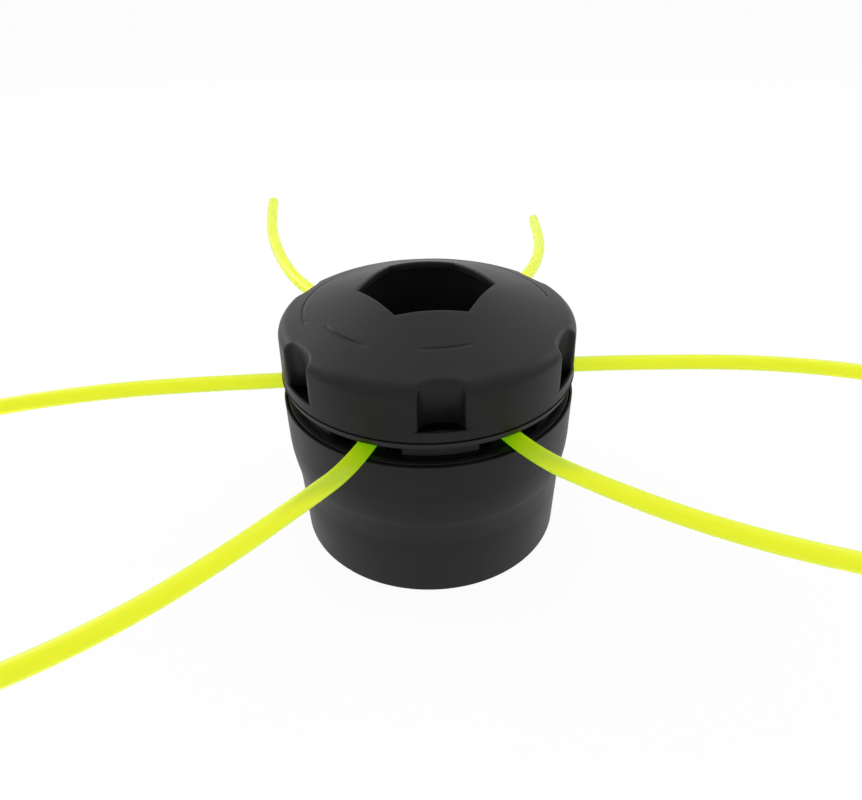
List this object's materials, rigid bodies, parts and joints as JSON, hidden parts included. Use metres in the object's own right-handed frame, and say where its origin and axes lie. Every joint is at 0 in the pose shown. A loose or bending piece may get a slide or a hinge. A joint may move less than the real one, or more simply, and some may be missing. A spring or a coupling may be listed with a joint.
{
  "type": "fixed line trimmer head",
  "caption": "Round trimmer head: short fixed nylon lines leave a windowed ring between a tapered cup and a domed twist cap with finger scoops and a hexagonal opening.",
  "frame": {"origin": "centre of the cup's base, on the head's axis of rotation", "axes": "+Z along the axis of rotation, from the base up through the domed cap; -Y towards the side that the picture shows"},
  "size_m": [0.288, 0.2413, 0.0674],
  "materials": {
    "nylon_black": "fine moulded grain, slightly satin",
    "line_yellow": "translucent yellow-green monofilament",
    "steel": "zinc plated"
  },
  "bodies": {
    "head": {"housing": "nylon_black", "arbor_nut": "steel", "thrust_washer": "steel", "carrier": "nylon_black", "carrier_screw_1": "steel", "carrier_screw_2": "steel", "carrier_screw_3": "steel", "line_stop_1": "steel", "line_stop_2": "steel", "line_stop_3": "steel", "line_stop_4": "steel", "line_stop_5": "steel", "line_stop_6": "steel", "line_1": "line_yellow", "line_2": "line_yellow", "line_3": "line_yellow", "line_4": "line_yellow", "line_5": "line_yellow", "line_6": "line_yellow"},
    "knob": {"cap": "nylon_black"}
  },
  "joints": [
    {"name": "cap_turn", "type": "hinge", "parent": "head", "child": "knob", "pos_m": [0, 0, 0.047], "axis": [0, 0, 1], "range_deg": [0, 30]}
  ]
}
